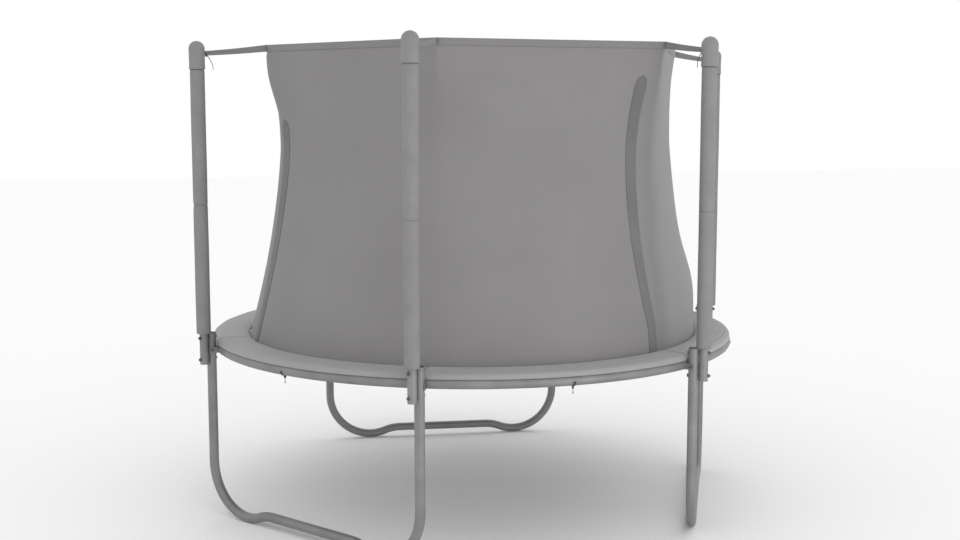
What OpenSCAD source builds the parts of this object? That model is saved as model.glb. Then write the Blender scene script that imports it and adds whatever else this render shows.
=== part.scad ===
// Round garden trampoline with a safety net enclosure.
// The origin is the centre of the jumping ring, on the ground.  +Z is up.

/* [Frame ring] */
// Outside diameter of the top ring
ring_od = 2440; // [2000:10:3000]
// Diameter of the ring and leg tubes
tube_d = 42; // [32:1:50]
// Wall of all the steel tubes
tube_wall = 1.5; // [1:0.1:3]
// Height of the ring's centre line above the ground
ring_z = 758; // [600:1:1000]

/* [Legs] */
// Direction that each leg's middle faces, in degrees
leg_faces = [-144, -25, 85];
// Half of the angle between the two uprights of one leg
half_span = 30.5; // [26:0.5:32]
// Height where the leg base meets the uprights
leg_joint_z = 400; // [320:10:550]
// Radius of the corner bends, on the tube's centre line
corner_bend_r = 225; // [150:5:280]
// How far the middle of the leg base is raised off the ground
middle_rise = 30; // [10:1:60]
// Height of the uprights' top ends
upright_top_z = 832; // [800:1:1100]
// How deep a necked tube end goes into the next tube
plug_len = 60; // [30:5:100]

/* [Enclosure poles] */
// Diameter of the enclosure poles
pole_d = 38; // [25:1:45]
// Gap between pole and upright, filled by the saddles
saddle_t = 2; // [1:0.5:6]
// Height of the poles' lower ends
pole_foot_z = 693; // [500:1:700]
// Height of the joint between lower and upper pole
pole_joint_z = 1406; // [1200:2:1700]
// Height of the top of the pole caps
overall_h = 2120; // [2000:10:2600]
// Outside diameter of the foam sleeves
foam_d = 63.5; // [50:0.5:80]
// Height of the plastic pole caps
cap_h = 122; // [90:1:160]
// Outside diameter of the caps
cap_d = 70; // [56:1:80]

/* [Bolts] */
// Thread diameter of the bolts
bolt_d = 8; // [6:0.5:10]
// Running clearance of a bolt in its hole, on diameter
bolt_clear = 0.5; // [0.2:0.1:1]
// Height of the lower bolt that holds a pole to its upright
pole_bolt_low_z = 715; // [705:1:720]
// Height of the upper bolt that holds a pole to its upright
pole_bolt_high_z = 812; // [808:1:818]

/* [Jumping mat] */
// Diameter of the woven mat
mat_d = 2056; // [1700:2:2100]
// Thickness of the mat
mat_t = 4; // [2:0.5:6]
// Number of springs round the mat
spring_count = 48; // [36:6:60]
// Outside diameter of a spring
spring_d = 22; // [16:1:26]
// Diameter of the spring wire and of the mat rings' wire
wire_d = 3.6; // [2.5:0.1:4]

/* [Pad] */
// Inner radius of the spring pad
pad_inner_r = 1053; // [1040:1:1120]
// Highest point of the pad above the ring's centre line
pad_crown = 46; // [36:1:60]
// Gap between the pad's rim and the uprights
pad_rim_gap = 3; // [2:0.5:10]

/* [Net] */
// Height of the top of the net's hem
net_top_z = 2109; // [1900:1:2200]
// Radius of the net's corners at the hem
net_top_r = 1020; // [900:5:1100]
// Height of the net's waist
waist_z = 1650; // [1400:10:1900]
// Radius of the net's ridges at the waist
waist_r = 978; // [850:5:1050]
// Gap between the net's lower edge and the mat
net_lift = 16; // [12:1:40]
// How far the hem is drawn off centre
hem_shift = [48, 14];
// How far the waist is drawn off centre
waist_shift = [52, 58];
// Thickness of the net panels, with their padding of folds
net_t = 4; // [2:0.5:8]
// Width of the strap webbing at the net
strap_w = 30; // [20:1:50]
// Width of the gathered strap webbing at the pole cap
strap_end_w = 19; // [12:1:30]
// How far the net swells out low down on its right side
swell_d = 35; // [0:1:60]
// Direction of the middle of that swell, in degrees
swell_az = -12;
// Height of the middle of that swell
swell_z = 1020; // [950:5:1300]
// Width of the bands sewn over the panel seams
band_w = 56; // [30:1:80]
// Furthest that each band's middle bows away from its seam
band_bow = [75, 113, 113];
// Height where each band bows furthest
band_bow_z = [1420, 1540, 1540];
// How fast each band's bow falls off, in mm per square metre of height
band_fall = [110, 193, 193];

/* [Hidden] */
eps = 0.01;
facets = 48;
$fn = facets;
tube_r = tube_d / 2;
bore_r = tube_r - tube_wall;
slip = 0.3;
neck_len = 12;
ring_r = ring_od / 2 - tube_r;
leg_r = ring_r + tube_d;
plane_r = leg_r * cos(half_span);
half_chord = leg_r * sin(half_span);
pole_r = pole_d / 2;
pole_off = tube_r + saddle_t + pole_r;
hole_r = (bolt_d + bolt_clear) / 2;
segment_angle = 60;
segment_start = -145;

// bolts and nuts
head_h = bolt_d * 0.66;
head_af = bolt_d * 1.625;
nut_h = bolt_d * 0.8;
thread_past = 4;

// brackets welded to the ring, one pair of ears for each upright
ear_t = 3;
ear_gap = 0.4;
ear_out = 12;
ear_low_z = ring_z - 17;
ear_high_z = ring_z + 9;
frame_bolt_z = (ear_low_z + ear_high_z) / 2;
ear_face = tube_r + ear_gap + ear_t;

// poles and caps
cap_bottom_z = overall_h - cap_h;
cap_wall = 3;
cap_waist = 0.8;
cap_waist_low = 22;
cap_waist_high = 24;
cap_blend = 7;
cap_pocket_h = 4;
cap_foam_gap = 0.5;
pole_top_z = overall_h - cap_d / 2 - 6;
foam_wall_gap = 0.5;
foam_bottom_z = upright_top_z;
foam_top_z = cap_bottom_z - cap_foam_gap;
foam_split_gap = 1;

// springs, drawn between the mat rings and the ring tube
mat_z = ring_z;
mat_ring_in = mat_d / 2 + 0.5;
mat_ring_len = 22;
mat_ring_w = 26;
hook_in_r = mat_ring_in + mat_ring_len - wire_d * 2.4;
spring_in_r = mat_ring_in + mat_ring_len + 8;
spring_out_r = ring_r - tube_r - 14;
hook_out_r = ring_r - bore_r + 5;
hook_rise = mat_t / 2 + wire_d / 2 + 0.6;

// pad, as a ring section that rests on the ring's upper shoulder
pad_outer_r = leg_r - tube_r - pad_rim_gap;
pad_under = 1.2;

// net
net_bottom_z = mat_z + net_lift;
net_bottom_r = pad_inner_r - 6;
net_levels = 14;
net_steps = 12;
swell_tall = 170;
swell_narrow = 7.3;
strap_t = 2;
strap_cap_drop = 55;
strap_low_z = overall_h - strap_cap_drop;
strap_gap = 0.5;
knot_r = 6.5;
knot_drop = 4;
knot_sink = 0.5;
tail_len = 68;
tail_w = 6;
tail_t = 1.4;
strap_cap_gap = 1;
band_t = 2;
band_lift = 2.6;
band_edge = 4;
band_foot = 30;
band_top_drop = [334, 150, 150];
seam_gap = 0.5;
slider_w = 16;
slider_h = 34;
slider_t = 7;
slider_z = net_bottom_z + 90;
slider_off = 6;

// directions and places of the six uprights and poles
function leg_of(j) = floor(j / 2);
function side_of(j) = (j % 2 == 0) ? -1 : 1;
function face_of(j) = leg_faces[leg_of(j)];
function az_of(j) = face_of(j) + side_of(j) * half_span;
function dir(a) = [cos(a), sin(a)];
function upright_at(j) = leg_r * dir(az_of(j));
function pole_at(j) = upright_at(j) + pole_off * dir(face_of(j));
function pole_az(j) = atan2(pole_at(j)[1], pole_at(j)[0]);
function pole_dist(j) = norm(pole_at(j));

// net outline: round at the foot, six-cornered at the hem
function corner(k) = pole_az(k % 6);
function unwrap(a, from) = (a < from) ? unwrap(a + 360, from) : a;
function corner_from(k) = (k == 0) ? corner(0) : unwrap(corner(k), corner_from(k - 1));
function down_share(z) = (waist_z - z) / (waist_z - net_bottom_z);
function up_share(z) = (z - waist_z) / (net_top_z - waist_z);
function ridge_r(z) = (z < waist_z)
    ? waist_r + (net_bottom_r - waist_r) * pow(down_share(z), 1.6)
    : waist_r + (net_top_r - waist_r) * pow(up_share(z), 1.5);
function net_shift(z) = (z < waist_z)
    ? waist_shift * (1 - pow(down_share(z), 1.2))
    : waist_shift + (hem_shift - waist_shift) * up_share(z);
function straightness(z) = pow((z - net_bottom_z) / (net_top_z - net_bottom_z), 1.1);
function chord_share(a, a0, a1) = cos((a1 - a0) / 2) / cos(a - (a0 + a1) / 2);
function swell(a, z) = swell_d * exp(-pow((z - swell_z) / swell_tall, 2))
    * exp(swell_narrow * (cos(a - swell_az) - 1));
function side_r(a, a0, a1, z) = swell(a, z)
    + ridge_r(z) * (1 + straightness(z) * (chord_share(a, a0, a1) - 1));
function net_point(a, a0, a1, z, inset) =
    let (p = net_shift(z) + (side_r(a, a0, a1, z) - inset) * dir(a)) [p[0], p[1], z];

// where the hem's corner lies for pole j: its azimuth and distance from the centre
function hem_corner(j) = net_shift(net_top_z) + net_top_r * dir(pole_az(j));
function strap_run(j) = norm(pole_at(j) - hem_corner(j));
function strap_dir(j) =
    let (d = hem_corner(j) - pole_at(j)) atan2(d[1], d[0]);

RING_NODES = [for (i = [1:6]) str("ring_segment_", i)];
BASE_NODES = [for (i = [1:3]) str("leg_base_", i)];
UPRIGHT_NODES = [for (i = [1:6]) str("leg_upright_", i)];
LOWER_NODES = [for (i = [1:6]) str("pole_lower_", i)];
UPPER_NODES = [for (i = [1:6]) str("pole_upper_", i)];
FOAM_NODES = [for (i = [1:6]) str("foam_sleeve_", i)];
CAP_NODES = [for (i = [1:6]) str("pole_cap_", i)];
STRAP_NODES = [for (i = [1:6]) str("corner_strap_", i)];
NET_NODES = [for (i = [1:3]) str("net_panel_", i)];

// frames: local +X points outwards
module at_upright(j) {
    translate(upright_at(j)) rotate([0, 0, az_of(j)]) children();
}

module at_pole(j) {
    translate(pole_at(j)) rotate([0, 0, face_of(j)]) children();
}

module rod(r, z0, z1) {
    translate([0, 0, z0]) cylinder(r = r, h = z1 - z0);
}

module cross_rod(r, x0, x1) {
    translate([x0, 0, 0]) rotate([0, 90, 0]) cylinder(r = r, h = x1 - x0);
}

// a straight tube whose lower end is necked down into the tube below it
module plugged_tube(r, z0, z1) {
    neck_r = r - tube_wall - slip;
    difference() {
        union() {
            rod(r, z0, z1);
            rod(neck_r, z0 - plug_len, z0 + neck_len);
        }
        rod(neck_r - tube_wall, z0 - plug_len - 1, z0 + neck_len);
        rod(r - tube_wall, z0 + neck_len - eps, z1 + 1);
    }
}

// ring segment with one necked end and a row of spring holes
module ring_arc(r, a0, a1) {
    translate([0, 0, ring_z]) rotate([0, 0, a0])
        rotate_extrude(angle = a1 - a0, $fn = 180) translate([ring_r, 0]) circle(r = r);
}

module ring_segment(i) {
    a0 = segment_start + segment_angle * i;
    a1 = a0 + segment_angle;
    plug_a = plug_len / ring_r * 180 / PI;
    neck_a = neck_len / ring_r * 180 / PI;
    neck_r = bore_r - slip;
    color("dimgray") difference() {
        union() {
            ring_arc(tube_r, a0, a1);
            ring_arc(neck_r, a1 - neck_a, a1 + plug_a);
            for (j = [0:5]) if (in_segment(az_of(j), a0)) ears(j);
        }
        ring_arc(bore_r, a0 - 1, a1 - neck_a);
        ring_arc(neck_r - tube_wall, a1 - neck_a - eps, a1 + plug_a + 1);
        for (k = [0:spring_count - 1]) if (in_segment(spring_az(k), a0)) spring_hole(k);
    }
}

function spring_az(k) = segment_start + (k + 0.5) * 360 / spring_count;
function in_segment(a, a0) = unwrap(a, a0) < a0 + segment_angle;

module spring_hole(k) {
    rotate([0, 0, spring_az(k)]) translate([0, 0, ring_z])
        cross_rod(wire_d, ring_r - tube_r - 2, ring_r - bore_r + 2, $fn = 24);
}

// two ears that straddle an upright
module ears(j) {
    at_upright(j) for (s = [-1, 1]) difference() {
        translate([-tube_d, s > 0 ? tube_r + ear_gap : -ear_face, ear_low_z])
            cube([tube_d + ear_out, ear_t, ear_high_z - ear_low_z]);
        translate([0, 0, frame_bolt_z]) rotate([90, 0, 0])
            cylinder(r = hole_r, h = 4 * tube_d, center = true, $fn = 32);
    }
}

// leg base: a W of one bent tube, standing on its two low bends
module ring_face(r_out, r_in) {
    difference() {
        circle(r = r_out);
        circle(r = r_in);
    }
}

module bend(cy, cz, r_bend, a0, a1) {
    translate([0, cy, cz]) rotate([90, 0, 90]) rotate([0, 0, a0])
        rotate_extrude(angle = a1 - a0, $fn = 96) translate([r_bend, 0])
            ring_face(tube_r, bore_r);
}

sweep_r = 2 * corner_bend_r;
rise_a = acos(1 - middle_rise / sweep_r);
foot_y = half_chord - corner_bend_r;
flat_half = foot_y - sweep_r * sin(rise_a);
bend_z = tube_r + corner_bend_r;
mark_len = 2;
mark_depth = 0.15;

// shallow roll mark where a bend starts or ends; y and z place it, tilt leans it
module roll_mark(y, z, tilt) {
    translate([0, y, z]) rotate([-tilt, 0, 0]) translate([0, 0, -mark_len / 2])
        linear_extrude(mark_len) ring_face(tube_r + mark_depth, bore_r - mark_depth);
}

// one end of the leg base; its other end is the same, turned round
module base_end() {
    translate([0, half_chord, bend_z]) linear_extrude(leg_joint_z - bend_z)
        ring_face(tube_r, bore_r);
    bend(foot_y, bend_z, corner_bend_r, -90 - rise_a, 0);
    bend(flat_half, bend_z - sweep_r * cos(rise_a), corner_bend_r, 90 - rise_a, 90);
    roll_mark(half_chord, bend_z, 0);
    roll_mark(foot_y - corner_bend_r * sin(rise_a), bend_z - corner_bend_r * cos(rise_a),
        90 + rise_a);
    roll_mark(flat_half, tube_r + middle_rise, 90);
}

module leg_base(i) {
    color("gray") rotate([0, 0, leg_faces[i]]) translate([plane_r, 0, 0]) {
        base_end();
        rotate([0, 0, 180]) base_end();
        translate([0, -flat_half, tube_r + middle_rise]) rotate([-90, 0, 0])
            linear_extrude(2 * flat_half) ring_face(tube_r, bore_r);
    }
}

module leg_upright(j) {
    color("gray") translate(upright_at(j)) difference() {
        plugged_tube(tube_r, leg_joint_z, upright_top_z);
        for (z = [pole_bolt_low_z, pole_bolt_high_z]) translate([0, 0, z])
            rotate([0, 0, face_of(j)]) cross_rod(hole_r, -tube_d, tube_d, $fn = 32);
        translate([0, 0, frame_bolt_z]) rotate([0, 0, az_of(j) + 90])
            cross_rod(hole_r, -tube_d, tube_d, $fn = 32);
    }
}

// enclosure poles
module pole_lower(j) {
    color("dimgray") at_pole(j) difference() {
        rod(pole_r, pole_foot_z, pole_joint_z);
        rod(pole_r - tube_wall, pole_foot_z - 1, pole_joint_z + 1);
        for (z = [pole_bolt_low_z, pole_bolt_high_z]) translate([0, 0, z])
            cross_rod(hole_r, -pole_d, pole_d, $fn = 32);
    }
}

module pole_upper(j) {
    color("dimgray") at_pole(j) plugged_tube(pole_r, pole_joint_z, pole_top_z);
}

module foam_sleeve(j) {
    color("lightgray") at_pole(j) for (half = [[foam_bottom_z, pole_joint_z - foam_split_gap],
                                               [pole_joint_z, foam_top_z]]) difference() {
        rod(foam_d / 2, half[0], half[1]);
        rod(pole_r + foam_wall_gap, half[0] - 1, half[1] + 1);
    }
}

// cap: domed top over a body with a slight waist, hollow for the pole
module pole_cap(j) {
    body_r = cap_d / 2;
    waist_r = body_r - cap_waist;
    inner_r = pole_r + foam_wall_gap;
    dome_z = overall_h - body_r;
    color("darkgray") at_pole(j) rotate_extrude() difference() {
        union() {
            polygon([[0, cap_bottom_z], [body_r, cap_bottom_z],
                     [waist_r, cap_bottom_z + cap_waist_low],
                     [waist_r, dome_z - cap_waist_high],
                     [body_r, dome_z - cap_waist_high + cap_blend], [body_r, dome_z],
                     [0, dome_z]]);
            intersection() {
                translate([0, dome_z]) circle(r = body_r, $fn = 96);
                translate([0, dome_z]) square([body_r, body_r]);
            }
        }
        translate([-1, cap_bottom_z - 1])
            square([inner_r + 1, pole_top_z - cap_bottom_z + 1 + foam_wall_gap]);
        translate([-1, cap_bottom_z - 1])
            square([foam_d / 2 - cap_wall, cap_pocket_h + 1]);
    }
}

// webbing strap from a pole cap to the net's corner, with its knot and loose tail
module corner_strap(j) {
    x0 = cap_d / 2 + strap_cap_gap;
    x1 = strap_run(j) - strap_gap;
    mid0 = strap_low_z;
    mid1 = net_top_z - strap_w / 2 - 1;
    color("gray") translate(pole_at(j)) rotate([0, 0, strap_dir(j)]) union() {
        translate([0, strap_t / 2, 0]) rotate([90, 0, 0]) linear_extrude(strap_t)
            polygon([[x0, mid0 - strap_end_w / 2], [x1, mid1 - strap_w / 2],
                     [x1, mid1 + strap_w / 2], [x0, mid0 + strap_end_w / 2]]);
        translate([x0 + knot_r - knot_sink, 0, mid0 - knot_drop])
            sphere(r = knot_r, $fn = 32);
        translate([x0 + knot_r + 1, -tail_w / 2, mid0 - knot_drop - tail_len])
            cube([tail_t, tail_w, tail_len]);
    }
}

// fasteners
module hex_head(h) {
    cylinder(d = head_af / cos(30), h = h, $fn = 6);
}

// bolt along +X: head face at x0, shank to x1
module bolt(x0, x1) {
    translate([x0, 0, 0]) rotate([0, -90, 0]) hex_head(head_h);
    cross_rod(bolt_d / 2, x0 - eps, x1, $fn = 32);
}

module frame_bolt_frame(j) {
    at_upright(j) translate([0, 0, frame_bolt_z]) rotate([0, 0, side_of(j) > 0 ? -90 : 90])
        children();
}

module frame_bolts() {
    color("black") for (j = [0:5]) frame_bolt_frame(j)
        bolt(-ear_face, ear_face + nut_h + thread_past);
}

module pole_bolt_frames(j) {
    at_upright_facing(j) for (z = [pole_bolt_low_z, pole_bolt_high_z])
        translate([0, 0, z]) children();
}

module at_upright_facing(j) {
    translate(upright_at(j)) rotate([0, 0, face_of(j)]) children();
}

module pole_bolts() {
    color("black") for (j = [0:5]) pole_bolt_frames(j)
        bolt(-tube_r - 0.2, pole_off + pole_r + nut_h + thread_past);
}

module nut() {
    difference() {
        rotate([0, 90, 0]) hex_head(nut_h);
        cross_rod(bolt_d / 2 + 0.1, -1, nut_h + 1, $fn = 32);
    }
}

module nuts() {
    color("black") for (j = [0:5]) {
        frame_bolt_frame(j) translate([ear_face + 0.2, 0, 0]) nut();
        pole_bolt_frames(j) translate([pole_off + pole_r + 0.2, 0, 0]) nut();
    }
}

// saddle washers hollowed on both sides to sit between pole and upright
module pole_saddles() {
    saddle_h = 18;
    saddle_w = 22;
    reach = 6;
    color("black") for (j = [0:5]) pole_bolt_frames(j) difference() {
        translate([tube_r - reach, -saddle_w / 2, -saddle_h / 2])
            cube([saddle_t + 2 * reach, saddle_w, saddle_h]);
        rod(tube_r + 0.1, -saddle_h, saddle_h);
        translate([pole_off, 0, 0]) rod(pole_r + 0.1, -saddle_h, saddle_h);
        cross_rod(hole_r, 0, pole_off, $fn = 32);
    }
}

// jumping mat, its wire rings and the springs
module jumping_mat() {
    color("darkgray") translate([0, 0, mat_z - mat_t / 2])
        cylinder(d = mat_d, h = mat_t, $fn = 180);
}

module mat_ring() {
    half = mat_ring_w / 2;
    w = wire_d;
    translate([mat_ring_in, 0, -w / 2]) linear_extrude(w) difference() {
        polygon([[0, -half], [0, half], [mat_ring_len, w], [mat_ring_len, -w]]);
        polygon([[w, -half + 1.6 * w], [w, half - 1.6 * w],
                 [mat_ring_len - w, w * 0.6], [mat_ring_len - w, -w * 0.6]]);
    }
}

module mat_rings() {
    color("silver") for (k = [0:spring_count - 1]) rotate([0, 0, spring_az(k)])
        translate([0, 0, mat_z]) mat_ring();
}

module spring() {
    w = wire_d / 2;
    cross_rod(spring_d / 2, spring_in_r, spring_out_r, $fn = 24);
    cross_rod(w, spring_out_r - 1, hook_out_r, $fn = 16);
    translate([0, 0, hook_rise]) cross_rod(w, hook_in_r, spring_in_r + 1, $fn = 16);
    translate([hook_in_r, 0, 0]) rod(w, -hook_rise, hook_rise, $fn = 16);
}

module springs() {
    color("silver") for (k = [0:spring_count - 1]) rotate([0, 0, spring_az(k)])
        translate([0, 0, mat_z]) spring();
}

// spring pad: a padded ring that lies over the springs and the ring's shoulder
function shoulder(r) = sqrt(max(0, tube_r * tube_r - pow(r - ring_r, 2)));

module spring_pad() {
    lip_r = pad_outer_r;
    color("lightgray") translate([0, 0, ring_z]) rotate_extrude($fn = 180)
        polygon([[pad_inner_r, tube_r + pad_under + 6], [pad_inner_r + 6, tube_r + pad_under],
                 [ring_r, tube_r + pad_under],
                 [lip_r - 6, shoulder(lip_r - 6) + pad_under + 1],
                 [lip_r, shoulder(lip_r) + pad_under + 1],
                 [lip_r, shoulder(lip_r) + pad_under + 14],
                 [lip_r - 5, pad_crown - 8], [lip_r - 25, pad_crown - 2],
                 [(lip_r + pad_inner_r) / 2, pad_crown],
                 [pad_inner_r + 25, pad_crown - 3], [pad_inner_r + 3, pad_crown - 10],
                 [pad_inner_r, pad_crown - 16]]);
}

// elastic pad ties: a loop round the ring with a hook that hangs under it
// Clearance, thickness and width of a tie's loop, and its knot and hanging hook
tie_clear = 1.4;
tie_t = 1.6;
tie_w = 9;
tie_knot_r = 5;
tie_drop = 26;
function tie_az(j) = (corner_from(j) + corner_from(j + 1)) / 2;
module pad_ties() {
    loop_r = tube_r + tie_clear + tie_t / 2;
    knot_z = -loop_r - tie_knot_r;
    color("black") for (j = [0:5]) rotate([0, 0, tie_az(j)]) translate([ring_r, 0, ring_z]) {
        rotate([90, 0, 0]) rotate([0, 0, 180]) rotate_extrude(angle = 180)
            translate([loop_r, 0]) square([tie_t, tie_w], center = true);
        translate([0, 0, knot_z]) sphere(r = tie_knot_r, $fn = 24);
        translate([0, 0, knot_z - tie_drop]) cylinder(r = tie_t, h = tie_drop, $fn = 16);
    }
}

// net panels: each one spans two sides of the six-cornered enclosure
function panel_corners(i) = [corner_from(2 * i), corner_from(2 * i + 1),
    (i == 2) ? corner_from(0) + 360 : corner_from(2 * i + 2)];
function panel_angle(i, u) =
    let (c = panel_corners(i), half = net_steps / 2)
    (u <= half) ? c[0] + (c[1] - c[0]) * u / half : c[1] + (c[2] - c[1]) * (u - half) / half;
function panel_side(i, u) =
    let (c = panel_corners(i)) (u <= net_steps / 2) ? [c[0], c[1]] : [c[1], c[2]];
function level_z(v) = net_bottom_z + (net_top_z - net_bottom_z) * v / net_levels;
function panel_point(i, u, v, inset) =
    let (s = panel_side(i, u), trim = seam_gap / net_bottom_r * 90 / PI,
         a = panel_angle(i, u) + ((u == 0) ? trim : (u == net_steps) ? -trim : 0))
    net_point(a, s[0], s[1], level_z(v), inset);

module net_panel(i) {
    n = net_steps + 1;
    m = net_levels + 1;
    outer = [for (v = [0:m - 1]) for (u = [0:n - 1]) panel_point(i, u, v, 0)];
    inner = [for (v = [0:m - 1]) for (u = [0:n - 1]) panel_point(i, u, v, net_t)];
    back = n * m;
    faces = concat(
        [for (v = [0:m - 2]) for (u = [0:n - 2])
            [v * n + u, (v + 1) * n + u, (v + 1) * n + u + 1]],
        [for (v = [0:m - 2]) for (u = [0:n - 2])
            [v * n + u, (v + 1) * n + u + 1, v * n + u + 1]],
        [for (v = [0:m - 2]) for (u = [0:n - 2])
            [back + v * n + u, back + (v + 1) * n + u + 1, back + (v + 1) * n + u]],
        [for (v = [0:m - 2]) for (u = [0:n - 2])
            [back + v * n + u, back + v * n + u + 1, back + (v + 1) * n + u + 1]],
        [for (u = [0:n - 2]) [u, u + 1, back + u + 1]],
        [for (u = [0:n - 2]) [u, back + u + 1, back + u]],
        [for (u = [0:n - 2]) let (t = (m - 1) * n + u) [t, back + t, back + t + 1]],
        [for (u = [0:n - 2]) let (t = (m - 1) * n + u) [t, back + t + 1, t + 1]],
        [for (v = [0:m - 2]) let (t = v * n) [t, back + t, back + t + n]],
        [for (v = [0:m - 2]) let (t = v * n) [t, back + t + n, t + n]],
        [for (v = [0:m - 2]) let (t = v * n + n - 1) [t, t + n, back + t + n]],
        [for (v = [0:m - 2]) let (t = v * n + n - 1) [t, back + t + n, back + t]]);
    color([0.5, 0.5, 0.5]) polyhedron(points = concat(outer, inner), faces = faces);
}

// bands sewn over the two front seams, and the zip guard over the rear one
function band_z(b, v) = net_bottom_z + band_foot
    + (net_top_z - band_top_drop[b] - net_bottom_z - band_foot) * v / net_levels;
function band_middle(b, z) = max(band_w / 2 + band_edge,
    band_bow[b] - band_fall[b] * pow((z - band_bow_z[b]) / 1000, 2));
function band_point(b, e, v, lift) =
    let (k = 2 * b, side = (b == 0) ? 1 : -1, a0 = corner_from(k), z = band_z(b, v),
         along = side * (band_middle(b, z) + (e - 0.5) * band_w) * 180 / PI / ridge_r(z),
         n0 = (side > 0) ? a0 : corner_from(k - 1), n1 = (side > 0) ? corner_from(k + 1) : a0)
    net_point(a0 + along, n0, n1, z, -lift);
module seam_band(b) {
    m = net_levels + 1;
    pts = [for (v = [0:m - 1]) for (c = [[0, band_lift], [1, band_lift],
                                         [1, band_t + band_lift], [0, band_t + band_lift]])
        band_point(b, c[0], v, c[1])];
    flip = b == 0;
    walls = [for (v = [0:m - 2]) for (c = [0:3]) let (a = 4 * v + c, d = 4 * v + (c + 1) % 4)
        flip ? [a, d, d + 4, a + 4] : [a, a + 4, d + 4, d]];
    tris = concat([for (f = walls) [f[0], f[1], f[2]]], [for (f = walls) [f[0], f[2], f[3]]]);
    top = 4 * (m - 1);
    ends = flip ? [[3, 2, 1], [3, 1, 0], [top, top + 1, top + 2], [top, top + 2, top + 3]]
                : [[0, 1, 2], [0, 2, 3], [top + 3, top + 2, top + 1], [top + 3, top + 1, top]];
    polyhedron(points = pts, faces = concat(tris, ends));
}
module seam_bands() {
    color("gray") for (b = [0:2]) seam_band(b);
}
module door_slider() {
    a = corner_from(4) + 3 * 180 / PI / net_bottom_r;
    r = ridge_r(slider_z) + slider_off;
    s = net_shift(slider_z);
    color("black") translate([s[0], s[1], slider_z]) rotate([0, 0, a])
        translate([r, -slider_w / 2, 0]) cube([slider_t, slider_w, slider_h]);
}

ring_segment(0);  // ring_segment_1
ring_segment(1);  // ring_segment_2
ring_segment(2);  // ring_segment_3
ring_segment(3);  // ring_segment_4
ring_segment(4);  // ring_segment_5
ring_segment(5);  // ring_segment_6
leg_base(0);  // leg_base_1
leg_base(1);  // leg_base_2
leg_base(2);  // leg_base_3
leg_upright(0);  // leg_upright_1
leg_upright(1);  // leg_upright_2
leg_upright(2);  // leg_upright_3
leg_upright(3);  // leg_upright_4
leg_upright(4);  // leg_upright_5
leg_upright(5);  // leg_upright_6
pole_lower(0);  // pole_lower_1
pole_lower(1);  // pole_lower_2
pole_lower(2);  // pole_lower_3
pole_lower(3);  // pole_lower_4
pole_lower(4);  // pole_lower_5
pole_lower(5);  // pole_lower_6
pole_upper(0);  // pole_upper_1
pole_upper(1);  // pole_upper_2
pole_upper(2);  // pole_upper_3
pole_upper(3);  // pole_upper_4
pole_upper(4);  // pole_upper_5
pole_upper(5);  // pole_upper_6
foam_sleeve(0);  // foam_sleeve_1
foam_sleeve(1);  // foam_sleeve_2
foam_sleeve(2);  // foam_sleeve_3
foam_sleeve(3);  // foam_sleeve_4
foam_sleeve(4);  // foam_sleeve_5
foam_sleeve(5);  // foam_sleeve_6
pole_cap(0);  // pole_cap_1
pole_cap(1);  // pole_cap_2
pole_cap(2);  // pole_cap_3
pole_cap(3);  // pole_cap_4
pole_cap(4);  // pole_cap_5
pole_cap(5);  // pole_cap_6
corner_strap(0);  // corner_strap_1
corner_strap(1);  // corner_strap_2
corner_strap(2);  // corner_strap_3
corner_strap(3);  // corner_strap_4
corner_strap(4);  // corner_strap_5
corner_strap(5);  // corner_strap_6
net_panel(0);  // net_panel_1
net_panel(1);  // net_panel_2
net_panel(2);  // net_panel_3
frame_bolts();
pole_bolts();
nuts();
pole_saddles();
jumping_mat();
mat_rings();
springs();
spring_pad();
pad_ties();
seam_bands();
door_slider();
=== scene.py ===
import math

import bpy
import numpy as np
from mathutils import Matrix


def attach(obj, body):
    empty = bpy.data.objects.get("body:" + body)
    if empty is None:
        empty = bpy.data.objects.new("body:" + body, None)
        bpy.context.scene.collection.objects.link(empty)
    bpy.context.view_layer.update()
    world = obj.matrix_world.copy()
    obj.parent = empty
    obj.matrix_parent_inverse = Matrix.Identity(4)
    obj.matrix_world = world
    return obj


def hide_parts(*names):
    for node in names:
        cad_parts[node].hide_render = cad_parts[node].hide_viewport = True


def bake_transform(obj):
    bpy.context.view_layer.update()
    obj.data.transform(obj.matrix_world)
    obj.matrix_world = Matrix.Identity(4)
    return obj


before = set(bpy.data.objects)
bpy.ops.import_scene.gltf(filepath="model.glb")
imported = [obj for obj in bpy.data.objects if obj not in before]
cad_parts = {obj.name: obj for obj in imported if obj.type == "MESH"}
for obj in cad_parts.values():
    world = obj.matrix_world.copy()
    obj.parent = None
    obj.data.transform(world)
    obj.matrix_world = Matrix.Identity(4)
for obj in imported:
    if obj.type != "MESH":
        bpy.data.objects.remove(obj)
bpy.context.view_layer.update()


# --- Viewpoint, floor and studio light ---------------------------------------
# A 50 mm lens on a 36 mm wide sensor stands 6.3 m in front of the trampoline at
# 1.83 m, looking a little down.  The floor is plain and pale under a soft white sky.
lens = bpy.data.cameras.new("studio_lens")
lens.lens = 50.0
lens.sensor_width = 36.0
lens.clip_end = 60.0
viewer = bpy.data.objects.new("studio_camera", lens)
viewer.location = (-1.5305, -6.1383, 1.8304)
viewer.rotation_euler = (math.radians(83.072), 0.0, math.radians(-14.349))
bpy.context.collection.objects.link(viewer)
bpy.context.scene.camera = viewer

sky = bpy.data.worlds.new("studio_sky")
sky.use_nodes = True
sky.node_tree.nodes["Background"].inputs["Color"].default_value = (1.0, 1.0, 1.0, 1.0)
sky.node_tree.nodes["Background"].inputs["Strength"].default_value = 1.0
bpy.context.scene.world = sky
bpy.context.scene.view_settings.view_transform = "Standard"


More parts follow.
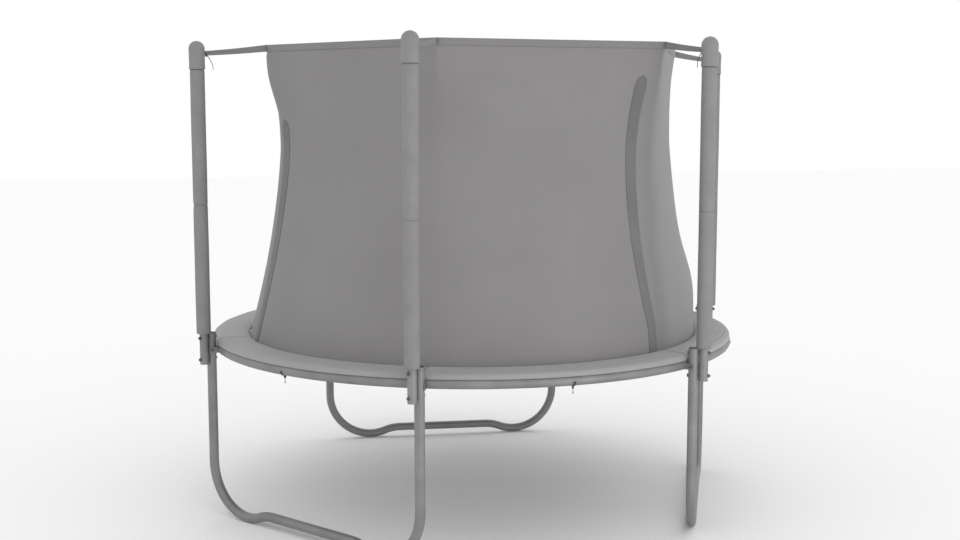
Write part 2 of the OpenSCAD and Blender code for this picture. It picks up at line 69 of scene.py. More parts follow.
def soft_light(name, place, aim, size, watts):
    """A square area light at place, turned so that it shines at aim."""
    lamp = bpy.data.lights.new(name, "AREA")
    lamp.size = size
    lamp.energy = watts
    holder = bpy.data.objects.new(name, lamp)
    holder.location = place
    toward = np.array(aim) - np.array(place)
    flat = math.hypot(toward[0], toward[1])
    holder.rotation_euler = (math.atan2(flat, -toward[2]), 0.0,
                             math.atan2(toward[1], toward[0]) - math.pi / 2)
    bpy.context.collection.objects.link(holder)


soft_light("low_softbox", (2.4, -5.2, 0.7), (0.5, -0.5, 1.0), 1.6, 42.0)


def plain_material(name, colour, roughness, metal=0.0):
    """A new material with one Principled shader; returns it with its node tree's parts."""
    made = bpy.data.materials.new(name)
    made.use_nodes = True
    shader = made.node_tree.nodes["Principled BSDF"]
    shader.inputs["Base Color"].default_value = (*colour, 1.0)
    shader.inputs["Roughness"].default_value = roughness
    shader.inputs["Metallic"].default_value = metal
    return made, made.node_tree, shader


floor_material, _, _ = plain_material("pale_floor", (0.97, 0.97, 0.97), 0.9)
floor_mesh = bpy.data.meshes.new("floor")
floor_mesh.from_pydata([(-30, -30, 0), (30, -30, 0), (30, 30, 0), (-30, 30, 0)], [],
                       [(0, 1, 2, 3)])
floor_mesh.materials.append(floor_material)
floor = bpy.data.objects.new("floor", floor_mesh)
bpy.context.collection.objects.link(floor)


# --- Steel tubes ---------------------------------------------------------------
# Ring segments, W-shaped leg bases, uprights and poles are rolled and bent steel tube
# with a satin zinc coat.  The coat is mottled in tone, and its roughness and bump follow a
# fine grain.
def mottle_group():
    """Two noises, a broad one that gives a value for tint and a fine one that gives a value
    for height.
    """
    group = bpy.data.node_groups.new("zinc_mottle", "ShaderNodeTree")
    group.interface.new_socket("Vector", in_out="INPUT", socket_type="NodeSocketVector")
    for label, value in (("Broad", 9.0), ("Fine", 160.0)):
        socket = group.interface.new_socket(label, in_out="INPUT",
                                            socket_type="NodeSocketFloat")
        socket.default_value = value
    for label in ("Tint", "Grain"):
        group.interface.new_socket(label, in_out="OUTPUT", socket_type="NodeSocketFloat")
    nodes, links = group.nodes, group.links
    entry, leave = nodes.new("NodeGroupInput"), nodes.new("NodeGroupOutput")
    broad, fine = nodes.new("ShaderNodeTexNoise"), nodes.new("ShaderNodeTexNoise")
    broad.inputs["Detail"].default_value = 5.0
    fine.inputs["Detail"].default_value = 3.0
    for noise, label in ((broad, "Broad"), (fine, "Fine")):
        links.new(entry.outputs["Vector"], noise.inputs["Vector"])
        links.new(entry.outputs[label], noise.inputs["Scale"])
    links.new(broad.outputs["Fac"], leave.inputs["Tint"])
    links.new(fine.outputs["Fac"], leave.inputs["Grain"])
    return group


zinc_mottle = mottle_group()


def tint_and_bump(tree, dark, light, depth, strength):
    """A ramp from dark to light and a bump of the given depth in metres."""
    ramp = tree.nodes.new("ShaderNodeValToRGB")
    for element, position, colour in zip(ramp.color_ramp.elements, (0.3, 0.7), (dark, light)):
        element.position = position
        element.color = (*colour, 1.0)
    bump = tree.nodes.new("ShaderNodeBump")
    bump.inputs["Distance"].default_value = depth
    bump.inputs["Strength"].default_value = strength
    return ramp, bump


def mottled_material(name, dark, light, roughness, metal, broad, fine, depth):
    """A material whose colour runs from dark to light with the broad noise, and whose
    bump of the given depth in metres follows the fine noise."""
    made, tree, shader = plain_material(name, light, roughness, metal)
    place = tree.nodes.new("ShaderNodeTexCoord")
    mottle = tree.nodes.new("ShaderNodeGroup")
    mottle.node_tree = zinc_mottle
    mottle.inputs["Broad"].default_value = broad
    mottle.inputs["Fine"].default_value = fine
    ramp, bump = tint_and_bump(tree, dark, light, depth, 0.6)
    rough = tree.nodes.new("ShaderNodeMapRange")
    rough.inputs["To Min"].default_value = max(0.05, roughness - 0.08)
    rough.inputs["To Max"].default_value = min(1.0, roughness + 0.08)
    link = tree.links.new
    link(place.outputs["Object"], mottle.inputs["Vector"])
    link(mottle.outputs["Tint"], ramp.inputs["Fac"])
    link(mottle.outputs["Grain"], bump.inputs["Height"])
    link(mottle.outputs["Grain"], rough.inputs["Value"])
    link(ramp.outputs["Color"], shader.inputs["Base Color"])
    link(rough.outputs["Result"], shader.inputs["Roughness"])
    link(bump.outputs["Normal"], shader.inputs["Normal"])
    return made


def dress(node, material):
    """Give a carried-over node its finished material."""
    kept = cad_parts[node]
    kept.data.materials.clear()
    kept.data.materials.append(material)


zinc = mottled_material("galvanised_tube", (0.205, 0.200, 0.202), (0.265, 0.259, 0.262),
                        0.5, 0.35, 9.0, 420.0, 0.00012)
for stem, count in (("ring_segment", 6), ("leg_base", 3), ("leg_upright", 6),
                    ("pole_lower", 6), ("pole_upper", 6)):
    for number in range(1, count + 1):
        dress(f"{stem}_{number}", zinc)


# --- Bolts, nuts and saddles -----------------------------------------------------
# Hexagon bolts pass through each upright and pole; black moulded saddles part the two
# tubes.  The fasteners are blackened zinc and darker than the tube.
black_zinc = mottled_material("fastener", (0.120, 0.117, 0.119), (0.165, 0.161, 0.163),
                              0.42, 0.6, 30.0, 900.0, 0.00005)
black_plastic = mottled_material("moulded_black", (0.05, 0.05, 0.05), (0.075, 0.075, 0.075),
                                 0.55, 0.0, 20.0, 700.0, 0.00008)
for node in ("frame_bolts", "pole_bolts", "nuts"):
    dress(node, black_zinc)
dress("pole_saddles", black_plastic)


# --- Where the uprights and poles stand --------------------------------------------
# Each leg carries two uprights, and a pole is bolted outside each one.  Corners of the
# net face the poles.
LEG_FACES = np.radians([-144.0, -25.0, 85.0])
HALF_SPAN = math.radians(30.5)
RING_RADIUS = 1.199
LEG_RADIUS = 1.241
POLE_OFFSET = 0.042
RING_HEIGHT = 0.758
UP = np.array([0.0, 0.0, 1.0])


def upright_angle(j):
    """Angle of upright j round the ring: half a span to one side of its leg's facing."""
    return LEG_FACES[j // 2] + HALF_SPAN * (-1 if j % 2 == 0 else 1)


def pole_place(j):
    """Foot of pole j: the upright's place moved outwards along its leg's facing."""
    face = LEG_FACES[j // 2]
    around = upright_angle(j)
    return np.array([LEG_RADIUS * math.cos(around) + POLE_OFFSET * math.cos(face),
                     LEG_RADIUS * math.sin(around) + POLE_OFFSET * math.sin(face)])


POLES = [pole_place(j) for j in range(6)]
CORNERS = [math.atan2(p[1], p[0]) for p in POLES]
for k in range(1, 6):
    while CORNERS[k] < CORNERS[k - 1]:
        CORNERS[k] += 2 * math.pi
CORNERS.append(CORNERS[0] + 2 * math.pi)
CORNERS = np.array(CORNERS)


# --- Foam sleeves --------------------------------------------------------------------
# Two lengths of closed-cell foam tube in a thin cover slip over each pole, butted at the
# pole joint.  The foam swells a little between its ends, and one joint gapes on one side.
def grid_mesh(name, points, close_u=False, close_v=False, flip=False, uv=None):
    """A mesh object from an array of points[v, u], joined into quads along both
    directions, and round to the start again where a direction is closed."""
    rows, columns = points.shape[:2]
    u = np.arange(columns if close_u else columns - 1)
    v = np.arange(rows if close_v else rows - 1)
    u, v = np.meshgrid(u, v)
    right, up = (u + 1) % columns, (v + 1) % rows
    quads = np.stack([v * columns + u, v * columns + right,
                      up * columns + right, up * columns + u], -1).reshape(-1, 4)
    if flip:
        quads = quads[:, ::-1]
    mesh = bpy.data.meshes.new(name)
    mesh.from_pydata(points.reshape(-1, 3).tolist(), [], quads.tolist())
    mesh.polygons.foreach_set("use_smooth", np.ones(len(quads), bool))
    if uv is not None:
        layer = mesh.uv_layers.new(name="cloth")
        layer.data.foreach_set("uv", uv.reshape(-1, 2)[quads.reshape(-1)].ravel())
    mesh.update()
    made = bpy.data.objects.new(name, mesh)
    bpy.context.collection.objects.link(made)
    return made


FOAM_RADIUS, FOAM_BORE = 0.03150, 0.01960
FOAM_LENGTHS = (0.832, 1.4057), (1.406, 1.9973)
POLE_JOINT = 1.4055
FOAM_ROWS, FOAM_COLUMNS = 90, 48


def foam_length(centre, low, high, gape_side, gape, lip):
    """Profile of a tube wall (outside up, over the end, inside down) turned about the
    pole.  The outside is the nominal radius plus a slow swell and a ripple; where it
    gapes, the end nearest the joint is drawn in on one side."""
    t = np.linspace(0, 1, FOAM_ROWS)
    swell = 0.00035 * np.sin(math.pi * t)
    ends = lip * (np.exp(-t * (high - low) / 0.004) + np.exp(-(1 - t) * (high - low) / 0.004))
    outside = FOAM_RADIUS + swell - 0.45 * ends
    height = low + (high - low) * t
    around = np.linspace(0, 2 * math.pi, FOAM_COLUMNS, endpoint=False)
    profile_r = np.concatenate([outside, [FOAM_BORE, FOAM_BORE]])
    profile_z = np.concatenate([height, [high, low]])
    r = np.repeat(profile_r[:, None], len(around), 1)
    z = np.repeat(profile_z[:, None], len(around), 1)
    r[:FOAM_ROWS] += 0.00018 * np.sin(3 * around[None, :] + 17 * z[:FOAM_ROWS])
    near_joint = np.exp(-np.abs(z[:FOAM_ROWS] - POLE_JOINT) / 0.010)
    facing = np.clip(np.cos(around - gape_side), 0, 1)[None, :] ** 2
    r[:FOAM_ROWS] -= gape * near_joint * facing
    return np.stack([centre[0] + r * np.cos(around), centre[1] + r * np.sin(around), z], -1)


foam_cover = mottled_material("foam_sleeve", (0.218, 0.211, 0.214), (0.250, 0.243, 0.246),
                              0.72, 0.0, 14.0, 520.0, 0.00035)
for j in range(6):
    for part, (low, high) in enumerate(FOAM_LENGTHS):
        gape_side = CORNERS[j] - math.radians(60)
        sleeve = grid_mesh(f"foam_{j + 1}_{part + 1}",
                           foam_length(POLES[j], low, high, gape_side,
                                       0.007 if j == 0 else 0.0,
                                       0.003 if j == 0 else 0.0006),
                           close_u=True, close_v=True)
        sleeve.data.materials.append(foam_cover)
        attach(sleeve, "frame")
        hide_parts(f"foam_sleeve_{j + 1}")


# --- Pole caps -------------------------------------------------------------------------
# One moulding closes each pole: a straight body with a slight waist, under a dome.
# The moulding has a fine spark-eroded grain and a slight shine.
cap_plastic = mottled_material("moulded_cap", (0.215, 0.208, 0.211), (0.242, 0.235, 0.238),
                               0.5, 0.0, 12.0, 800.0, 0.0001)
for j in range(6):
    dress(f"pole_cap_{j + 1}", cap_plastic)


# --- Safety net ---------------------------------------------------------------------------
# Three panels of close knitted mesh are joined by seams behind the poles.  Their hem is
# pulled straight between the corners, and their foot is laced to the round mat.
NET_FOOT, NET_TOP, NET_WAIST = 0.774, 2.109, 1.650
WAIST_RADIUS, FOOT_RADIUS, TOP_RADIUS = 0.978, 1.0515, 1.020
FLARE, FLARE_HEIGHT, FLARE_TALL, FLARE_NARROW, FLARE_FADE = 0.016, 1.97, 0.12, 14, 0.05
SWELL, SWELL_TOWARDS, SWELL_HEIGHT = 0.035, math.radians(-12.0), 1.020
SWELL_TALL, SWELL_NARROW = 0.170, 7.3
SHARP, ROUND, ROUND_REACH = 0.003, 0.045, 0.30
HEM_SHIFT, WAIST_SHIFT = np.array([0.048, 0.014]), np.array([0.052, 0.058])
HEM_DEPTH = 0.031
SPRINGS = 48


def ridge_radius(z):
    """Waist radius plus a power of the distance from the waist, below and above it."""
    down = np.clip((NET_WAIST - z) / (NET_WAIST - NET_FOOT), 0, 1)
    up = np.clip((z - NET_WAIST) / (NET_TOP - NET_WAIST), 0, 1)
    return (WAIST_RADIUS + (FOOT_RADIUS - WAIST_RADIUS) * down ** 1.6
            + (TOP_RADIUS - WAIST_RADIUS) * up ** 1.5)


def net_centre(z):
    """The outline's centre, drawn off axis at the waist and at the hem."""
    down = np.clip((NET_WAIST - z) / (NET_WAIST - NET_FOOT), 0, 1)[..., None]
    up = np.clip((z - NET_WAIST) / (NET_TOP - NET_WAIST), 0, 1)[..., None]
    return WAIST_SHIFT * (1 - down ** 1.2) + (HEM_SHIFT - WAIST_SHIFT) * up


def net_surface(angle, start, end, z, proud):
    """A point of the net between the corner angles start and end: a circle at the foot
    that becomes the corners' straight chord towards the hem, moved out by proud.  The
    corner is sharp at the hem and rounder below it, where nothing pulls on the cloth.
    The rounding depends on the side's own angle, so sides of unequal angle end up to
    5.4 mm apart at the corner they share."""
    straight = np.clip((z - NET_FOOT) / (NET_TOP - NET_FOOT), 0, 1) ** 1.1
    rounding = SHARP + ROUND * np.clip((NET_TOP - z) / ROUND_REACH, 0, 1) ** 2
    half = (end - start) / 2
    from_middle = np.abs(angle - (start + end) / 2)
    to_corner = np.sqrt(np.clip(half - from_middle, 0, None) ** 2 + rounding ** 2)
    chord = np.cos(half) / np.cos(np.clip(half - to_corner, 0, None))
    swell = (SWELL * np.exp(-((z - SWELL_HEIGHT) / SWELL_TALL) ** 2)
             * np.exp(SWELL_NARROW * (np.cos(angle - SWELL_TOWARDS) - 1)))
    taut = (FLARE * np.exp(-((z - FLARE_HEIGHT) / FLARE_TALL) ** 2)
            * np.exp(FLARE_NARROW * (np.cos(angle - CORNERS[0]) - 1))
            * np.clip((NET_TOP - z) / FLARE_FADE, 0, 1))
    r = ridge_radius(z) * (1 + straight * (chord - 1)) + swell + taut + proud
    centre = net_centre(z)
    return np.stack([centre[..., 0] + r * np.cos(angle), centre[..., 1] + r * np.sin(angle),
                     z], -1)


def net_relief(angle, start, end, z):
    """How far the cloth stands in or out: small lacing scallops at the foot, and short
    pulls that fan down from the corners."""
    foot = np.exp(-(z - NET_FOOT) / 0.035)
    lacing = -0.0012 * foot * (0.5 + 0.5 * np.cos(SPRINGS * (angle - math.radians(-141.25))))
    below = np.clip(NET_TOP - HEM_DEPTH - z, 0, None)
    pulls = np.zeros_like(angle)
    for corner, side in ((start, 1), (end, -1)):
        away = side * (angle - corner)
        for slope, depth in ((1.05, 0.0026), (0.55, 0.0016)):
            across = away - slope * below
            pulls -= (depth * np.exp(-(across / 0.010) ** 2) * np.exp(-below / 0.09)
                      * (1 - np.exp(-below / 0.012)))
    return lacing + pulls


def cloth_group():
    """Two crossed sets of threads: sine waves along both cloth directions, multiplied."""
    group = bpy.data.node_groups.new("cloth_threads", "ShaderNodeTree")
    group.interface.new_socket("Vector", in_out="INPUT", socket_type="NodeSocketVector")
    socket = group.interface.new_socket("Threads", in_out="INPUT",
                                        socket_type="NodeSocketFloat")
    socket.default_value = 400.0
    for label in ("Threads", "Soiling"):
        group.interface.new_socket(label, in_out="OUTPUT", socket_type="NodeSocketFloat")
    nodes, links = group.nodes, group.links
    entry, leave = nodes.new("NodeGroupInput"), nodes.new("NodeGroupOutput")
    waves = []
    for direction in ("X", "Y"):
        wave = nodes.new("ShaderNodeTexWave")
        wave.bands_direction = direction
        wave.inputs["Distortion"].default_value = 0.4
        links.new(entry.outputs["Vector"], wave.inputs["Vector"])
        links.new(entry.outputs["Threads"], wave.inputs["Scale"])
        waves.append(wave)
    product = nodes.new("ShaderNodeMath")
    product.operation = "MULTIPLY"
    for place, wave in enumerate(waves):
        links.new(wave.outputs["Fac"], product.inputs[place])
    soil = nodes.new("ShaderNodeTexNoise")
    soil.inputs["Scale"].default_value = 3.0
    soil.inputs["Detail"].default_value = 4.0
    links.new(entry.outputs["Vector"], soil.inputs["Vector"])
    links.new(product.outputs["Value"], leave.inputs["Threads"])
    links.new(soil.outputs["Fac"], leave.inputs["Soiling"])
    return group


cloth_threads = cloth_group()


def cloth_material(name, dark, light, threads, depth, coordinates="UV", roughness=0.85):
    """Cloth whose bump is its threads, and whose colour drifts with slow soiling."""
    made, tree, shader = plain_material(name, light, roughness)
    place = tree.nodes.new("ShaderNodeTexCoord")
    weave = tree.nodes.new("ShaderNodeGroup")
    weave.node_tree = cloth_threads
    weave.inputs["Threads"].default_value = threads
    ramp, bump = tint_and_bump(tree, dark, light, depth, 0.5)
    shader.inputs["Sheen Weight"].default_value = 0.15
    link = tree.links.new
    link(place.outputs[coordinates], weave.inputs["Vector"])
    link(weave.outputs["Soiling"], ramp.inputs["Fac"])
    link(weave.outputs["Threads"], bump.inputs["Height"])
    link(ramp.outputs["Color"], shader.inputs["Base Color"])
    link(bump.outputs["Normal"], shader.inputs["Normal"])
    return made


def give_wall(piece, thickness):
    """Solidify gives a sheet its two faces and closed edges."""
    wall = piece.modifiers.new("wall", "SOLIDIFY")
    wall.thickness = thickness
    wall.offset = 0.0


net_cloth = cloth_material("net_fabric", (0.228, 0.220, 0.223), (0.246, 0.238, 0.241),
                           260.0, 0.0004)
hem_cloth = cloth_material("net_hem", (0.212, 0.205, 0.208), (0.230, 0.223, 0.226),
                           180.0, 0.0006)
heights = np.concatenate([np.linspace(NET_FOOT + 0.001, 0.86, 28),
                          np.linspace(0.87, 1.95, 90), np.linspace(1.96, 2.105, 40)])
for panel in range(3):
    pieces = []
    for side in (2 * panel, 2 * panel + 1):
        start, end = CORNERS[side], CORNERS[side + 1]
        across = start + (end - start) * (0.5 - 0.5 * np.cos(np.linspace(0, math.pi, 70)))
        angle, z = np.meshgrid(across if side % 2 == 0 else across[1:], heights)
        proud = net_relief(angle, start, end, z) - 0.0012
        pieces.append(net_surface(angle, start, end, z, proud))
    cloth = np.concatenate(pieces, 1)
    along = np.concatenate([[0], np.cumsum(np.linalg.norm(
        np.diff(cloth[60], axis=0), axis=-1))])
    uv = np.stack([np.repeat(along[None], len(heights), 0),
                   np.repeat(heights[:, None], len(along), 1)], -1)
    sheet = grid_mesh(f"net_cloth_{panel + 1}", cloth, uv=uv)
    sheet.data.materials.append(net_cloth)
    give_wall(sheet, 0.0012)
    width = max(np.linalg.norm(np.diff(row, axis=0), axis=-1).sum() for row in cloth[::8])
    drop = max(np.linalg.norm(np.diff(cloth[:, c], axis=0), axis=-1).sum()
               for c in range(0, cloth.shape[1], 8))
    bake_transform(sheet)
    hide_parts(f"net_panel_{panel + 1}")

# The hem is the net turned over a tape, with a narrow slit at each corner.
for side in range(6):
    start, end = CORNERS[side], CORNERS[side + 1]
    across = np.linspace(start + 0.0008, end - 0.0008, 60)
    angle, z = np.meshgrid(across, np.linspace(NET_TOP - HEM_DEPTH, NET_TOP - 0.001, 7))
    swell = 0.0010 * np.sin(math.pi * (z - (NET_TOP - HEM_DEPTH)) / HEM_DEPTH)
    hem_points = net_surface(angle, start, end, z, 0.0004 + 0.4 * swell)
    uv = np.stack([angle, z], -1)
    hem = grid_mesh(f"net_hem_{side + 1}", hem_points, uv=uv)
    hem.data.materials.append(hem_cloth)
    give_wall(hem, 0.0016)
    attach(hem, "frame")


# --- Seam bands ---------------------------------------------------------------------------
# A broad tape is sewn to the cloth beside each panel seam, and bows away from the seam
# between its ends.  It runs from just above the mat to a rounded top below the hem.  Two
# face forwards, and the rear one guards the zip.
band_cloth = cloth_material("net_band", (0.150, 0.145, 0.147), (0.178, 0.172, 0.174),
                            320.0, 0.0006)
BAND_WIDTH, BAND_LIFT, BAND_ROUND, SEAM_CLEARANCE = 0.056, 0.010, 0.050, 0.004
for order, (corner, side, bow, bow_height, fall, peak) in enumerate((
        (0, 1, 0.075, 1.420, 0.110, 1.780), (2, -1, 0.113, 1.540, 0.193, 1.968),
        (4, -1, 0.113, 1.540, 0.193, 1.957))):
    middle = CORNERS[corner]
    start, end = (middle, CORNERS[corner + 1]) if side > 0 else (CORNERS[corner - 1], middle)
    rise = np.linspace(NET_FOOT + BAND_LIFT, peak, 110)
    share = np.linspace(0, 1, 11)
    across, z = np.meshgrid(share, rise)
    to_top = np.clip((peak - z) / BAND_ROUND, 0, 1)
    round_top = np.sqrt(np.clip(1 - (1 - to_top) ** 2, 0.0009, 1))
    centre_line = np.maximum(BAND_WIDTH / 2 + SEAM_CLEARANCE,
                             bow - fall * (z - bow_height) ** 2)
    offset = centre_line + BAND_WIDTH * (across - 0.5) * round_top
    angle = middle + side * offset / ridge_radius(z)
    edge = 0.0007 * np.exp(-(np.minimum(across, 1 - across) / 0.06) ** 2)
    band_points = net_surface(angle, start, end, z, 0.0004 - 0.3 * edge)
    uv = np.stack([across * BAND_WIDTH, z], -1)
    band = grid_mesh(f"band_{order + 1}", band_points, flip=side < 0, uv=uv)
    band.data.materials.append(band_cloth)
    give_wall(band, 0.0008)
    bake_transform(band)
    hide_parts("seam_bands")


# --- Corner straps -----------------------------------------------------------------------
# Webbing runs from a hole in each cap to the net's corner.  It is gathered at the cap,
# tied off in a knot, and its spare end hangs.
webbing = cloth_material("webbing", (0.190, 0.184, 0.187), (0.225, 0.218, 0.221),
                         520.0, 0.0005)
dark_cord = cloth_material("tie_cord", (0.055, 0.053, 0.054), (0.085, 0.082, 0.083),
                           900.0, 0.0003, coordinates="Object")


def swept_tube(path, radius, sides=10):
    """A circle of the given radius (one value, or one per point) carried along a path,
    square to its direction, with both ends drawn to a point."""
    direction = np.gradient(path, axis=0)
    direction /= np.linalg.norm(direction, axis=1, keepdims=True)
    aside = np.cross(direction, [0.31, 0.17, 0.93])
    aside /= np.linalg.norm(aside, axis=1, keepdims=True)
    upward = np.cross(direction, aside)
    radius = np.broadcast_to(radius, len(path)).copy()
    radius[[0, -1]] *= 0.02
    turn = np.linspace(0, 2 * math.pi, sides, endpoint=False)
    return (path[:, None] + radius[:, None, None]
            * (np.cos(turn)[None, :, None] * aside[:, None]
               + np.sin(turn)[None, :, None] * upward[:, None]))


def trefoil(centre, size, across, upward, through):
    """A closed overhand knot: sin a + 2 sin 2a, cos a - 2 cos 2a and -sin 3a along three
    directions."""
    a = np.linspace(0, 2 * math.pi, 60)
    return centre + size * ((np.sin(a) + 2 * np.sin(2 * a))[:, None] * across
                            + (np.cos(a) - 2 * np.cos(2 * a))[:, None] * upward
                            - np.sin(3 * a)[:, None] * through)


STRAP_START, STRAP_WIDTH, STRAP_SPREAD = 0.0355, 0.019, 0.011
STRAP_HEIGHT, STRAP_RISE, STRAP_SAG, PLEAT = 2.067, 0.0265, 0.0018, 0.0016
KNOT_OUT, KNOT_HEIGHT, TAIL_DROP = 0.0405, 2.060, 0.066
TAIL_SWINGS = 0.034, 0.020, 0.028, 0.024, 0.018, 0.030
for j in range(6):
    pole = np.array([*POLES[j], 0.0])
    corner_place = np.array([HEM_SHIFT[0] + TOP_RADIUS * math.cos(CORNERS[j]),
                             HEM_SHIFT[1] + TOP_RADIUS * math.sin(CORNERS[j]), 0.0])
    run = corner_place - pole
    length = np.linalg.norm(run)
    run /= length
    square = np.array([-run[1], run[0], 0.0])
    t = np.linspace(0, 1, 40)[None, :]
    e = np.linspace(-0.5, 0.5, 9)[:, None]
    width = STRAP_WIDTH + STRAP_SPREAD * t
    middle_z = STRAP_HEIGHT + STRAP_RISE * t - STRAP_SAG * np.sin(math.pi * t)
    pleat = PLEAT * (1 - t) ** 2 * np.cos(3 * math.pi * e)
    strap_points = (pole + run * (STRAP_START + t * (length - 0.0335))[..., None]
                    + square * pleat[..., None]
                    + UP * (middle_z + e * width)[..., None])
    uv = np.stack(np.broadcast_arrays(t * length, e * width), -1)
    strap = grid_mesh(f"strap_{j + 1}", strap_points, uv=uv)
    strap.data.materials.append(webbing)
    give_wall(strap, 0.0018)
    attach(strap, "frame")
    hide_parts(f"corner_strap_{j + 1}")
    centre = pole + run * KNOT_OUT + UP * KNOT_HEIGHT
    knot = grid_mesh(f"knot_{j + 1}",
                     swept_tube(trefoil(centre, 0.0021, square, UP, run), 0.0026),
                     close_u=True)
    knot.data.materials.append(dark_cord)
    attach(knot, "frame")
    s = np.linspace(0, 1, 24)
    hang = (centre + run * (0.003 + TAIL_SWINGS[j]
                            * (0.75 * s + 0.25 * np.sin(3.0 * s)))[:, None]
            + square * (0.003 * np.sin(3.1 * s))[:, None] - UP * TAIL_DROP * s[:, None])
    tail = grid_mesh(f"tail_{j + 1}", swept_tube(hang, 0.0019 - 0.0006 * s, 8), close_u=True)
    tail.data.materials.append(dark_cord)
    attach(tail, "frame")


# --- Jumping mat -------------------------------------------------------------------------
# Tight black weave cut to a disc, with a doubled hem of webbing that carries the wire
# rings.  The springs hold it flat.
mat_weave = cloth_material("mat_weave", (0.050, 0.050, 0.052), (0.070, 0.070, 0.072),
                           330.0, 0.0005, coordinates="Object", roughness=0.7)
MAT_RADIUS, MAT_HEM, HEM_HEIGHT = 1.028, 0.985, 0.0009
spread = np.concatenate([np.linspace(0.0, 0.975, 26), np.linspace(0.98, MAT_RADIUS, 14)])
around, out = np.meshgrid(np.linspace(0, 2 * math.pi, 288, endpoint=False), spread)
doubled = HEM_HEIGHT / (1 + np.exp(-(out - MAT_HEM) / 0.0012))
mat_z = (RING_HEIGHT + doubled
         + 0.00035 * np.cos(SPRINGS * around) * np.exp((out - MAT_RADIUS) / 0.05))
mat_points = np.stack([out * np.cos(around), out * np.sin(around), mat_z], -1)
mat_points[0] = mat_points[0].mean(0)
mat_sheet = grid_mesh("mat_cloth", mat_points, close_u=True, flip=True)
mat_sheet.data.materials.append(mat_weave)
give_wall(mat_sheet, 0.0022)
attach(mat_sheet, "mat")
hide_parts("jumping_mat")


# --- Springs and mat rings -----------------------------------------------------------------
# Each spring is a tight coil of galvanised wire with a hook at both ends: one through
# the mat's ring, one into a slot in the ring tube.
spring_steel = mottled_material("spring_steel", (0.36, 0.36, 0.37), (0.46, 0.46, 0.47),
                                0.38, 0.8, 40.0, 900.0, 0.00004)
dress("mat_rings", spring_steel)


def directions(about):
    """Unit vectors outwards from the middle at an angle, and along the rim there."""
    return (np.array([math.cos(about), math.sin(about), 0.0]),
            np.array([-math.sin(about), math.cos(about), 0.0]))


INNER_HOOK, COIL_START, COIL_END, OUTER_HOOK = 1.04186, 1.0585, 1.164, 1.1845
WIRE, COIL_RADIUS, TURNS = 0.0018, 0.0092, 24
for k in range(SPRINGS):
    outward, beside = directions(math.radians(-145 + (k + 0.5) * 360 / SPRINGS))
    q = np.linspace(0, 1, TURNS * 10 + 1)
    coil = (outward * (COIL_START + (COIL_END - COIL_START) * q)[:, None]
            + COIL_RADIUS * (np.cos(2 * math.pi * TURNS * q)[:, None] * beside
                             + np.sin(2 * math.pi * TURNS * q)[:, None] * UP))
    inner = np.array([outward * INNER_HOOK - UP * 0.004,
                      outward * INNER_HOOK + UP * 0.0045,
                      outward * (INNER_HOOK + 0.006) + UP * 0.0062])
    outer = np.array([outward * (COIL_END + 0.006), outward * OUTER_HOOK])
    path = np.concatenate([inner, coil, outer]) + UP * RING_HEIGHT
    spring = grid_mesh(f"spring_{k + 1}", swept_tube(path, WIRE, 6), close_u=True)
    spring.data.materials.append(spring_steel)
    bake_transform(spring)
    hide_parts("springs")


# --- Spring pad ---------------------------------------------------------------------------
# Foam strips sewn into a coated cover lie over the springs.  Seams cross it at the
# uprights, and its outer skirt ripples unevenly.
pad_cover = cloth_material("pad_cover", (0.300, 0.292, 0.295), (0.326, 0.318, 0.321),
                           420.0, 0.0003, coordinates="Object", roughness=0.6)
PAD_ROWS, PAD_COLUMNS = 84, 720
profile = np.array([[1.0526, 0.0285], [1.0590, 0.0226], [1.0900, 0.0224], [1.1400, 0.0224],
                    [1.1990, 0.0226], [1.2080, 0.0210], [1.2145, 0.0170], [1.2165, 0.0200],
                    [1.2165, 0.0270], [1.2130, 0.0375], [1.2040, 0.0420], [1.1900, 0.0440],
                    [1.1600, 0.0456], [1.1300, 0.0460], [1.1000, 0.0452], [1.0780, 0.0430],
                    [1.0610, 0.0380], [1.0535, 0.0330]])
steps = np.concatenate([[0], np.cumsum(np.linalg.norm(np.diff(profile, axis=0), axis=1))])
fine = np.linspace(0, steps[-1], PAD_ROWS)
profile = np.stack([np.interp(fine, steps, profile[:, c]) for c in (0, 1)], 1)
around = np.linspace(0, 2 * math.pi, PAD_COLUMNS, endpoint=False)
r = np.repeat(profile[:, :1], PAD_COLUMNS, 1)
z = np.repeat(profile[:, 1:], PAD_COLUMNS, 1)
top = np.clip((z - 0.024) / 0.022, 0, 1)
uprights = np.array([upright_angle(j) for j in range(6)])
nearest = np.min(np.abs((around[None] - uprights[:, None] + math.pi) % (2 * math.pi)
                        - math.pi), 0)
seam = np.exp(-(nearest * RING_RADIUS / 0.006) ** 2)
puff = np.exp(-(nearest * RING_RADIUS / 0.035) ** 2) - seam
z = z - top * (0.0075 * seam[None] - 0.0010 * puff[None])
skirt = np.clip((r - 1.19) / 0.025, 0, 1)
for place, wander, turns, phase in ((1.168, 0.010, 3, 0.4), (1.186, 0.007, 4, 2.1),
                                    (1.201, 0.005, 5, 4.0)):
    crease = place + wander * np.sin(turns * around + phase)
    fade = 0.6 + 0.4 * np.sin(2 * around - phase)
    z = z - top * 0.0040 * fade[None] * np.exp(-((r - crease[None]) / 0.0038) ** 2)
z = z + skirt * top * 0.0009 * np.sin(23 * around + 1.3 * np.sin(5 * around))[None]
r = r - skirt * top * 0.0012 * (1 + np.sin(31 * around + 0.9 * np.sin(7 * around)))[None]
pad_points = np.stack([r * np.cos(around), r * np.sin(around), z + RING_HEIGHT], -1)
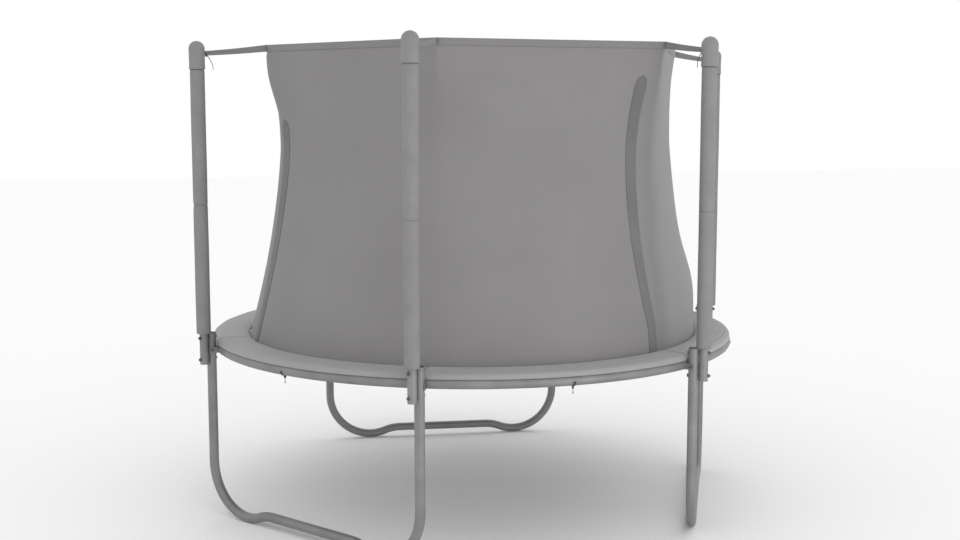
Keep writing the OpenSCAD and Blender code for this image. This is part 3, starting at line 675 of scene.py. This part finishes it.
pad = grid_mesh("pad_cushion", pad_points, close_u=True, close_v=True)
pad.data.materials.append(pad_cover)
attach(pad, "frame")
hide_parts("spring_pad")


# --- Pad ties ------------------------------------------------------------------------------
# A band of braided elastic passes under the ring tube midway between the uprights, and
# ends below it in a knot and a small two-pronged wire hook.
elastic = cloth_material("elastic_tie", (0.042, 0.042, 0.042), (0.062, 0.062, 0.062),
                         900.0, 0.0003, coordinates="Object")
TIE_RADIUS, TIE_WIDTH, TIE_KNOT_DROP = 0.0232, 0.009, 0.0282
for order in range(6):
    outward, beside = directions((CORNERS[order] + CORNERS[order + 1]) / 2)
    hub = outward * RING_RADIUS + UP * RING_HEIGHT
    turn = np.linspace(math.pi, 2 * math.pi, 30)
    strip = np.linspace(-TIE_WIDTH / 2, TIE_WIDTH / 2, 5)[:, None, None]
    loop_line = hub + TIE_RADIUS * (np.cos(turn)[:, None] * outward
                                  + np.sin(turn)[:, None] * UP)
    loop = grid_mesh(f"tie_loop_{order + 1}", loop_line[None] + strip * beside)
    give_wall(loop, 0.0014)
    below = hub - UP * TIE_KNOT_DROP
    tie_knot = grid_mesh(f"tie_knot_{order + 1}",
                         swept_tube(trefoil(below, 0.0016, outward, UP, beside), 0.0021),
                         close_u=True)
    s = np.linspace(0, 1, 16)[:, None]
    drop = below - UP * (0.003 + 0.013 * s) + beside * 0.001 * np.sin(3 * s)
    tie_drop = grid_mesh(f"tie_drop_{order + 1}", swept_tube(drop, 0.0012, 8), close_u=True)
    made = [loop, tie_knot, tie_drop]
    for prong, hand in ((-1, "left"), (1, "right")):
        leg = drop[-1] + beside * prong * 0.0035 * np.sin(1.5 * s) - UP * 0.011 * s
        made.append(grid_mesh(f"tie_prong_{order + 1}_{hand}",
                              swept_tube(leg, 0.0009, 8), close_u=True))
    for piece in made:
        piece.data.materials.append(elastic)
        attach(piece, "frame")
    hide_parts("pad_ties")


# --- Door slider ---------------------------------------------------------------------------
# The zip's moulded pull runs up the rear seam.
dress("door_slider", black_plastic)
